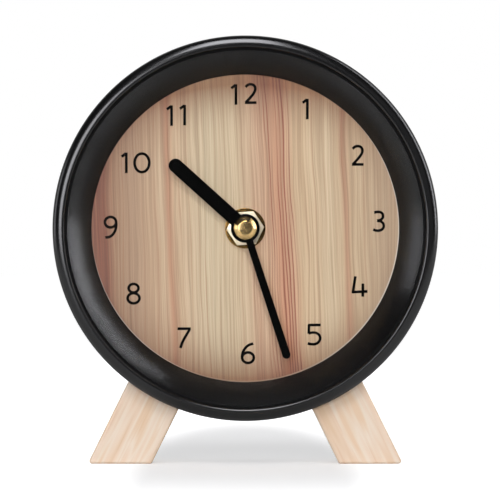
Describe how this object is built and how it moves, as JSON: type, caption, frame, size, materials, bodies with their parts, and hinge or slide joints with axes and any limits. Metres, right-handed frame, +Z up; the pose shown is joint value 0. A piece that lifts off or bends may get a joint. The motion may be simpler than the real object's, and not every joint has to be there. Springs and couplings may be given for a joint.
{
  "type": "desk clock",
  "caption": "Round black desk clock on splayed pine legs, with a wood dial behind a flat lens and a geared quartz movement that turns its hands.",
  "frame": {"origin": "on the desk, under the middle of the case", "axes": "+X right, +Y towards the back and +Z up, as seen from the front; the dial faces -Y"},
  "size_m": [0.115, 0.036, 0.128],
  "materials": {
    "case_black": "moulded, glossy",
    "bezel_black": "moulded, satin",
    "lens_clear": "clear acrylic",
    "dial_wood": "light wood face with upright grain",
    "cover_black": "moulded, fine grain",
    "leg_pine": "sanded pine",
    "screw_steel": "zinc plated",
    "brass": "polished",
    "hand_black": "matt black paint",
    "rubber": "soft",
    "movement_black": "moulded, fine grain",
    "wheel_white": "moulded acetal",
    "magnet_grey": "bonded ferrite",
    "motor_steel": "stamped",
    "copper_wire": "enamelled winding",
    "board_green": "solder mask",
    "chip_black": "epoxy drop",
    "contact_nickel": "nickel plated",
    "cell_sleeve": "plain sleeve"
  },
  "bodies": {
    "case": {"case_shell": "case_black", "bezel_ring": "bezel_black", "lens": "lens_clear", "dial_plate": "dial_wood", "rear_cover": "cover_black", "left_leg": "leg_pine", "right_leg": "leg_pine", "rear_cover_screws": "screw_steel", "leg_screws": "screw_steel", "threaded_bushing": "brass", "hex_nut": "brass", "dial_washer": "brass", "rubber_gasket": "rubber", "lens_ring": "rubber", "movement_front_case": "movement_black", "movement_rear_case": "movement_black", "coil_bobbin": "wheel_white", "stator": "motor_steel", "coil_core": "motor_steel", "coil_winding": "copper_wire", "circuit_board": "board_green", "driver_chip": "chip_black", "positive_contact": "contact_nickel", "negative_contact": "contact_nickel", "quartz_crystal": "contact_nickel", "battery_cell": "cell_sleeve"},
    "minute_works": {"minute_arbor": "brass", "minute_hand": "hand_black", "cap_nut": "brass"},
    "hour_works": {"hour_wheel": "wheel_white", "hour_hand": "hand_black"},
    "motion_works": {"motion_wheel": "wheel_white"},
    "setting_works": {"set_shaft": "wheel_white", "set_knob": "movement_black"},
    "seconds_works": {"seconds_wheel": "wheel_white"},
    "third_works": {"third_wheel": "wheel_white"},
    "centre_works": {"centre_wheel": "wheel_white"},
    "fifth_works": {"fifth_wheel": "wheel_white"},
    "rotor_works": {"rotor_pinion": "wheel_white", "rotor_magnet": "magnet_grey"}
  },
  "joints": [
    {"name": "minute_turn", "type": "hinge", "parent": "case", "child": "minute_works", "pos_m": [0, -0.00105, 0.0705], "axis": [0, 1, 0], "continuous": true},
    {"name": "hour_turn", "type": "hinge", "parent": "case", "child": "hour_works", "pos_m": [0, -0.00105, 0.0705], "axis": [0, 1, 0], "continuous": true},
    {"name": "motion_turn", "type": "hinge", "parent": "case", "child": "motion_works", "pos_m": [-0.01024, -0.00105, 0.07231], "axis": [0, 1, 0], "continuous": true},
    {"name": "setting_turn", "type": "hinge", "parent": "case", "child": "setting_works", "pos_m": [-0.02048, -0.00105, 0.0705], "axis": [0, 1, 0], "continuous": true},
    {"name": "seconds_turn", "type": "hinge", "parent": "case", "child": "seconds_works", "pos_m": [0, -0.00105, 0.0705], "axis": [0, 1, 0], "continuous": true},
    {"name": "third_turn", "type": "hinge", "parent": "case", "child": "third_works", "pos_m": [0.00883, -0.00105, 0.0756], "axis": [0, 1, 0], "continuous": true},
    {"name": "centre_turn", "type": "hinge", "parent": "case", "child": "centre_works", "pos_m": [0, -0.00105, 0.0705], "axis": [0, 1, 0], "continuous": true},
    {"name": "fifth_turn", "type": "hinge", "parent": "case", "child": "fifth_works", "pos_m": [-0.00176, -0.00105, 0.0805], "axis": [0, 1, 0], "continuous": true},
    {"name": "rotor_turn", "type": "hinge", "parent": "case", "child": "rotor_works", "pos_m": [-0.00691, -0.00105, 0.08482], "axis": [0, 1, 0], "continuous": true}
  ],
  "couplings": [
    {"joint": "motion_turn", "follows": "minute_turn", "ratio": -0.33333},
    {"joint": "hour_turn", "follows": "minute_turn", "ratio": 0.083333},
    {"joint": "setting_turn", "follows": "minute_turn", "ratio": 1},
    {"joint": "third_turn", "follows": "seconds_turn", "ratio": -0.13333},
    {"joint": "centre_turn", "follows": "seconds_turn", "ratio": 0.016667},
    {"joint": "fifth_turn", "follows": "seconds_turn", "ratio": -6},
    {"joint": "rotor_turn", "follows": "seconds_turn", "ratio": 30}
  ]
}
